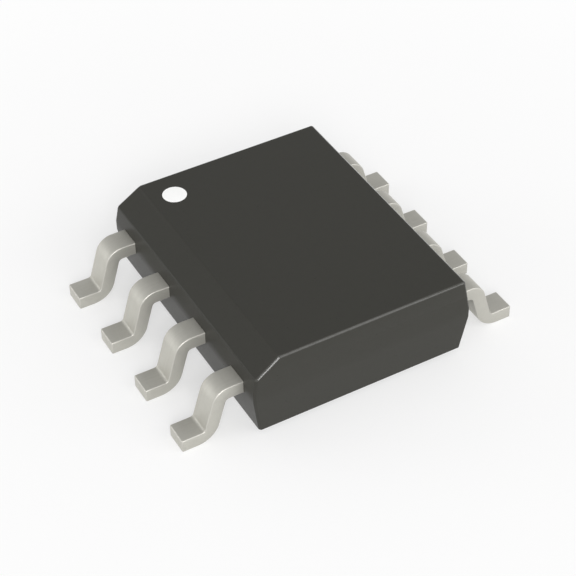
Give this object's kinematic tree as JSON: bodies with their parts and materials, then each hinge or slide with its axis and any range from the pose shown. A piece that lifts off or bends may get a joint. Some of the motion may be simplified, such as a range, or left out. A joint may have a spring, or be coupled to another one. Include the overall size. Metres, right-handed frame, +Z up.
{
  "type": "soic chip",
  "caption": "Small-outline surface-mount chip: drafted black moulded body, bevelled top edge, white pin-one dot and gull-wing leads along both long sides.",
  "frame": {"origin": "on the board surface that the feet rest on, below the middle of the moulded body", "axes": "+X across the two rows of leads, away from pin one's row; +Y along the rows, towards pin one's end; +Z up from the board"},
  "size_m": [0.0062, 0.005, 0.0016],
  "materials": {
    "moulding": "satin",
    "lead_plating": "satin",
    "paddle_metal": "satin",
    "attach_resin": "matte",
    "silicon": "polished",
    "wire_gold": "polished",
    "white_ink": "matte"
  },
  "bodies": {
    "root": {"mould_body": "moulding", "lead_1": "lead_plating", "lead_2": "lead_plating", "lead_3": "lead_plating", "lead_4": "lead_plating", "lead_5": "lead_plating", "lead_6": "lead_plating", "lead_7": "lead_plating", "lead_8": "lead_plating", "die_paddle": "paddle_metal", "die_attach": "attach_resin", "die": "silicon", "bond_wire_1": "wire_gold", "bond_wire_2": "wire_gold", "bond_wire_3": "wire_gold", "bond_wire_4": "wire_gold", "bond_wire_5": "wire_gold", "bond_wire_6": "wire_gold", "bond_wire_7": "wire_gold", "bond_wire_8": "wire_gold", "pin_one_dot": "white_ink"}
  },
  "joints": []
}
